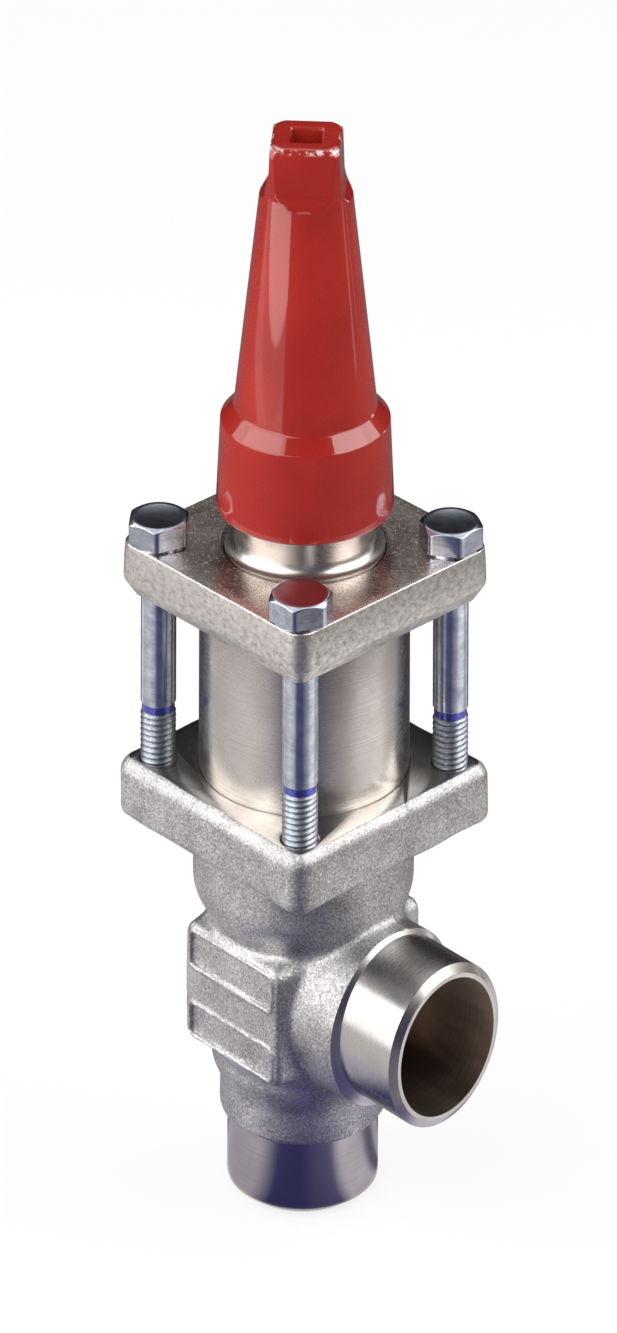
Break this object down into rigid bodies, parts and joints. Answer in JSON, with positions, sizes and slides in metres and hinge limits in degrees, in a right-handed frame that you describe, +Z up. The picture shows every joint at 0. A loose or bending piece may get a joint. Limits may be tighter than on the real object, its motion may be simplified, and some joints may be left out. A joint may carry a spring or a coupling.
{
  "type": "angle regulating valve",
  "caption": "Angle-type refrigeration regulating valve with butt-weld ends, a bolted square bonnet flange, a V-port cone on a screwed spindle and a tall screwed seal cap.",
  "frame": {"origin": "centre of the inlet stub's weld face", "axes": "+Z runs up along the spindle and the inlet bore, +X points out of the outlet, the cast panels face -Y and +Y"},
  "size_m": [0.0765, 0.061, 0.2315],
  "materials": {
    "cast_steel": "rough sand-cast steel, machined on its ends and its seat face",
    "fibre_gasket": "matt non-asbestos fibre",
    "turned_steel": "fine turned",
    "plated_flange": "forged, plated, satin",
    "zinc_plated_bolts": "bright blue zinc plate",
    "cone_steel": "turned",
    "spindle_steel": "polished stainless",
    "gland_steel": "turned, plated",
    "ptfe": "white, waxy",
    "black_rubber": "smooth",
    "nylon": "natural",
    "red_enamel": "gloss enamel on cast aluminium"
  },
  "bodies": {
    "valve_body": {"body": "cast_steel", "bonnet_gasket": "fibre_gasket", "bonnet_insert": "turned_steel", "bonnet_flange": "plated_flange", "bonnet_bolts": "zinc_plated_bolts", "packing_washer": "spindle_steel", "disc_spring": "spindle_steel", "packing_ring_lower": "ptfe", "packing_ring_middle": "ptfe", "packing_ring_upper": "ptfe", "packing_gland": "gland_steel", "gland_seal": "black_rubber", "spindle_seal": "black_rubber", "spindle_wiper": "ptfe"},
    "cone_unit": {"regulating_cone": "cone_steel", "cone_seal_ring": "ptfe", "cone_balls": "cone_steel", "cone_filler_screw": "cone_steel"},
    "spindle": {"spindle": "spindle_steel"},
    "cap_seal": {"cap_gasket": "nylon"},
    "seal_cap": {"seal_cap": "red_enamel"}
  },
  "joints": [
    {"name": "cone_lift", "type": "slide", "parent": "valve_body", "child": "cone_unit", "axis": [0, 0, 1], "range_m": [0, 0.01]},
    {"name": "spindle_turn", "type": "hinge", "parent": "cone_unit", "child": "spindle", "pos_m": [0, 0, 0], "axis": [0, 0, 1], "range_deg": [0, 1800]},
    {"name": "cap_rise", "type": "slide", "parent": "valve_body", "child": "cap_seal", "axis": [0, 0, 1], "range_m": [0, 0.014]},
    {"name": "cap_unscrew", "type": "hinge", "parent": "cap_seal", "child": "seal_cap", "pos_m": [0, 0, 0], "axis": [0, 0, 1], "range_deg": [0, 2520]}
  ],
  "couplings": [
    {"joint": "spindle_turn", "follows": "cone_lift", "rad_per_m": 3141.6},
    {"joint": "cap_unscrew", "follows": "cap_rise", "rad_per_m": 3141.6}
  ]
}
